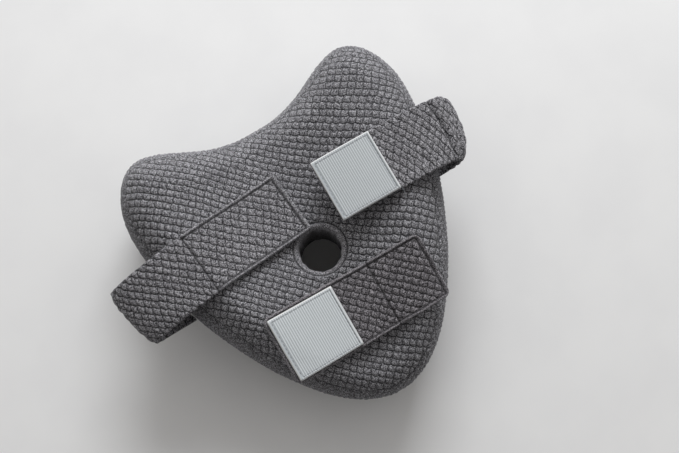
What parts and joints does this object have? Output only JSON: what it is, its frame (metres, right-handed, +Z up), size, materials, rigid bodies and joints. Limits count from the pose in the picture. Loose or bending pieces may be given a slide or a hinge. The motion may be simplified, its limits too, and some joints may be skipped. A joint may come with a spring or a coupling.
{
  "type": "knee pillow",
  "caption": "Heart-shaped foam pillow with a vent hole and wrap straps, worn between the knees or legs of someone lying on their side.",
  "frame": {"origin": "middle of the whole footprint, on the surface that the pillow's back crests rest on", "axes": "+X across the pillow towards the lobe that carries the elastic strap, +Y from the rounded tip to the notched end, +Z up from the surface it lies on"},
  "size_m": [0.2956, 0.2536, 0.1237],
  "materials": {
    "quilted_cover": "dark grey heathered knit, quilted in small puffed diamonds, matt",
    "quilted_band": "the same quilted knit, doubled and topstitched",
    "hook_tape": "pale grey woven tape with fine ribs and a slight sheen"
  },
  "bodies": {
    "root": {"cushion": "quilted_cover", "strap_elastic": "quilted_band", "strap_plain": "quilted_band", "strap_extender": "quilted_band", "hook_square_elastic": "hook_tape", "hook_square_extender": "hook_tape"}
  },
  "joints": []
}
